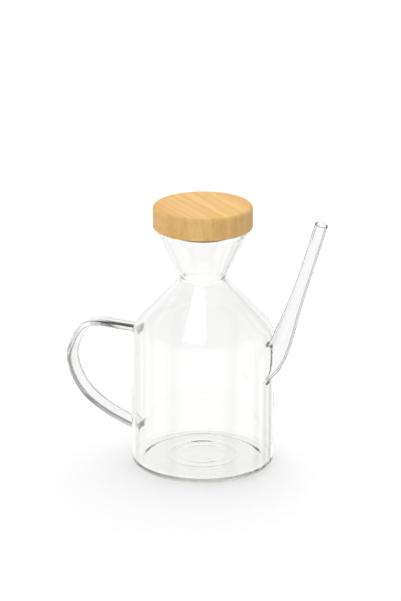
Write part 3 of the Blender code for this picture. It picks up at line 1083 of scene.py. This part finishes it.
silicone = bpy.data.materials.new("silicone")
tree = Tree(silicone)
spot = tree.add("ShaderNodeTexCoord", output=3)
mottle = tree.noise(spot, MOTTLE_SCALE, 3.0)
skin_grain = tree.noise(spot, SKIN_SCALE, 2.0)
colour = tree.mix(mottle, SILICONE_DEEP, SILICONE_PALE)
bump = tree.add("ShaderNodeBump", {}, {"Height": skin_grain, "Strength": 0.3, "Distance": SKIN_RELIEF})
rubber = tree.add("ShaderNodeBsdfPrincipled", {}, {
    "Base Color": colour, "Roughness": SILICONE_ROUGHNESS + mottle * ROUGHER_BY_MOTTLE,
    "Subsurface Weight": 0.5,
    "Subsurface Radius": (1.0, 0.8, 0.6), "Subsurface Scale": SCATTER_REACH, "Normal": bump})
tree.show("ShaderNodeOutputMaterial", rubber)
seal.data.materials.append(silicone)

# %% [markdown]
# ## Riding on the frame
# Each piece rides on the one body of the part, and the solid of the frame that it stands for is hidden and
# printed.

# %% Pieces and bodies
for piece, node, finish in ((vessel, "glass_vessel", "clear_glass"), (lid, "bamboo_lid", "bamboo"),
                            (seal, "silicone_seal", "silicone")):
    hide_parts(node)
    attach(piece, "root")
    print(piece.name, "stands for", node)

# %% [markdown]
# ## The table
# The bottle stands on a plain white table without an edge. A disc of rings that grow with their distance
# gives it small faces near the bottle and large ones far off. It lies a quarter of a millimetre below the
# foot, so that the two never share a plane. Rays that the glass bends or mirrors pass it by and meet the
# white of the room instead, because the bottle's own shadow would come back in the glass as grey patches.

# %% Table
TABLE_START = 0.02
TABLE_REACH = 6.0
TABLE_RINGS = 24
TABLE_SIDES = 96
TABLE_DROP = 0.25 * MM
TABLE_DEPTH = 0.02
TABLE_TONES = ((0.86, 0.86, 0.865), (0.88, 0.88, 0.88))
DUST_SCALE = 300.0

table_angle = np.arange(TABLE_SIDES) * 2 * math.pi / TABLE_SIDES
table_radius = np.geomspace(TABLE_START, TABLE_REACH, TABLE_RINGS)[:, None]
table_rings = np.stack([table_radius * np.cos(table_angle), table_radius * np.sin(table_angle),
                        np.full((TABLE_RINGS, TABLE_SIDES), -TABLE_DROP)], axis=-1)
table_rings = np.concatenate([table_rings, table_rings[-1:] - (0.0, 0.0, TABLE_DEPTH)])
floor = skin("floor", table_rings)
table_paint = bpy.data.materials.new("white_table")
tree = Tree(table_paint)
spot = tree.add("ShaderNodeTexCoord", output=3)
paint = tree.mix(tree.noise(spot, DUST_SCALE, 3.0), *TABLE_TONES)
matt = tree.add("ShaderNodeBsdfPrincipled", {}, {
    "Base Color": paint, "Roughness": 0.85, "Specular IOR Level": 0.1})
tree.show("ShaderNodeOutputMaterial", matt)
floor.data.materials.append(table_paint)
floor.visible_transmission = False
floor.visible_glossy = False

# %% [markdown]
# ## Lamps
# A softbox above and in front of the bottle leaves the pale window on the shoulder. Three wide lamps light
# the table and the lid: one nearly overhead for the shadow, one that fills in evenly, and one from the
# front. They are Sun lamps of many degrees, which light every spot alike, and the glass doesn't mirror them.


# %% Lamps
def lamp(name, kind, settings, back, upright, place=(0.0, 0.0, 0.0)):
    """A lamp at place that shines against the direction back; its X axis lies along upright x back."""
    data = bpy.data.lights.new(name, kind)
    for key, value in settings.items():
        setattr(data, key, value)
    back = np.array(back, float) / np.linalg.norm(back)
    right = np.cross(upright, back)
    print(f"{name}: {data.energy:.2f}")
    return aimed(name, data, right / np.linalg.norm(right), back, place)


# %% Softbox
SOFTBOX_PLACE = (0.0, -0.375, 0.95)
SOFTBOX_AIM = (0.0, 0.0, 0.1)
SOFTBOX_SETTINGS = {"shape": "RECTANGLE", "size": 0.46, "size_y": 0.30, "energy": 1.38}

softbox = lamp("softbox", "AREA", SOFTBOX_SETTINGS, np.subtract(SOFTBOX_PLACE, SOFTBOX_AIM), (0.0, 0.0, 1.0),
               SOFTBOX_PLACE)
softbox.visible_camera = False
softbox.visible_diffuse = False

# %% Wide lamps: name, direction to the lamp, spread in degrees, strength
WIDE_LAMPS = (
    ("overhead", (-0.05, 0.35, 1.0), 55.0, 2.0),
    ("fill", (0.0, 0.0, 1.0), 170.0, 1.55),
    ("front", (-0.35, -1.0, 0.45), 60.0, 0.9),
)

for name, towards, spread, strength in WIDE_LAMPS:
    settings = {"angle": math.radians(spread), "energy": strength}
    wide = lamp(name, "SUN", settings, towards, (0.0, 1.0, 0.0))
    wide.visible_glossy = False
    wide.visible_transmission = False
    wide.data.cycles.use_multiple_importance_sampling = False

# %% [markdown]
# ## The room
# Clear glass shows only what it bends and mirrors, so the room is made for the glass alone. It is white at
# the height of the bottle, a third darker higher up, and dim at the ceiling, and a few soft dark boards stand
# round the bottle. They draw the dark lines along the handle and the edges of the body; each was placed by
# following rays from the eye through the glass. The eye itself sees plain white behind the bottle, and the
# room lights nothing, so no board darkens the table.

# %% Boards, in degrees: direction, half width, lowest and highest rise, and then how dark each is
BOARDS = (
    (165.5, 6.0, -90.0, 90.0, 0.55),
    (181.0, 9.0, 8.0, 26.0, 0.65),
    (146.5, 5.0, -90.0, 90.0, 0.70),
    (123.0, 5.0, -90.0, 90.0, 0.60),
    (250.0, 8.0, -90.0, 90.0, 0.20),
    (330.0, 9.0, -90.0, 90.0, 0.40),
    (70.0, 10.0, -90.0, 90.0, 0.50),
)
BOARD_BLUR = 4.5

world = bpy.data.worlds.new("studio")
bpy.context.scene.world = world
tree = Tree(world)
way_x, way_y, rise = tree.parts(tree.add("ShaderNodeTexCoord", output=0))
level = tree.maths("SQRT", 1 - rise * rise)


def board(direction, half_width, lowest, highest):
    """1 in the directions that a board covers and 0 beside it, with soft edges.

    The cosine of the turn from the board's middle is the dot product of two level directions, and the rise
    is compared with the sines of the board's lowest and highest angles.
    """
    turn = math.radians(direction)
    facing = (way_x * math.sin(turn) - way_y * math.cos(turn)) / level
    sides = [math.cos(math.radians(half_width + blur)) for blur in (BOARD_BLUR, -BOARD_BLUR)]
    covered = facing.above(*sides)
    if highest < 90.0:
        foot, top = ([math.sin(math.radians(angle + blur)) for blur in (-BOARD_BLUR, BOARD_BLUR)]
                     for angle in (lowest, highest))
        covered = covered * rise.above(*foot) * rise.below(*top)
    return covered


# %% Walls, ceiling and sky
ROOM_WHITE = 1.03
HAZE_RISE = (0.15, 0.45)
HAZE_DARK = 0.35
CEILING_RISE = (0.52, 0.62)
CEILING_TONE = 0.12

light = 1 - rise.above(*HAZE_RISE) * HAZE_DARK
for *place, dark in BOARDS:
    light = light * (1 - board(*place) * dark)
walls = tree.mix(light, (0.0, 0.0, 0.0), (ROOM_WHITE,) * 3)
room = tree.mix(rise.above(*CEILING_RISE), walls, (CEILING_TONE,) * 3)
eye_ray = tree.add("ShaderNodeLightPath", output=0)
sky = tree.mix(eye_ray, room, (1.0, 1.0, 1.0))
glow = tree.add("ShaderNodeBackground", {}, {"Color": sky, "Strength": 1.0})
tree.show("ShaderNodeOutputWorld", glow)
world.cycles_visibility.diffuse = False

# %% [markdown]
# ## How far light is followed
# A ray that enters the glass can bounce inside it many times before it leaves, so it is followed for more
# steps than usual; with too few, the thick glass would turn black. Caustics are left out, because they need
# far more samples than they are worth here: the lamps shine through the walls instead.

# %% Bounces and colours
BOUNCES = 32
CLEAR_BOUNCES = 24

scene = bpy.context.scene
scene.view_settings.view_transform = "Standard"
scene.cycles.max_bounces = BOUNCES
scene.cycles.glossy_bounces = BOUNCES
scene.cycles.transmission_bounces = BOUNCES
scene.cycles.transparent_max_bounces = CLEAR_BOUNCES
scene.cycles.sample_clamp_indirect = 0.0
scene.cycles.use_light_tree = False
scene.cycles.caustics_refractive = False
scene.cycles.caustics_reflective = False
print("light is followed for", BOUNCES, "bounces")

# %% [markdown]
# ## The end
# The finer meshes must not outgrow the solids that they stand for. Last, the view layer is brought up to date
# before the frame closes the scene.

# %% The end
bpy.context.view_layer.update()
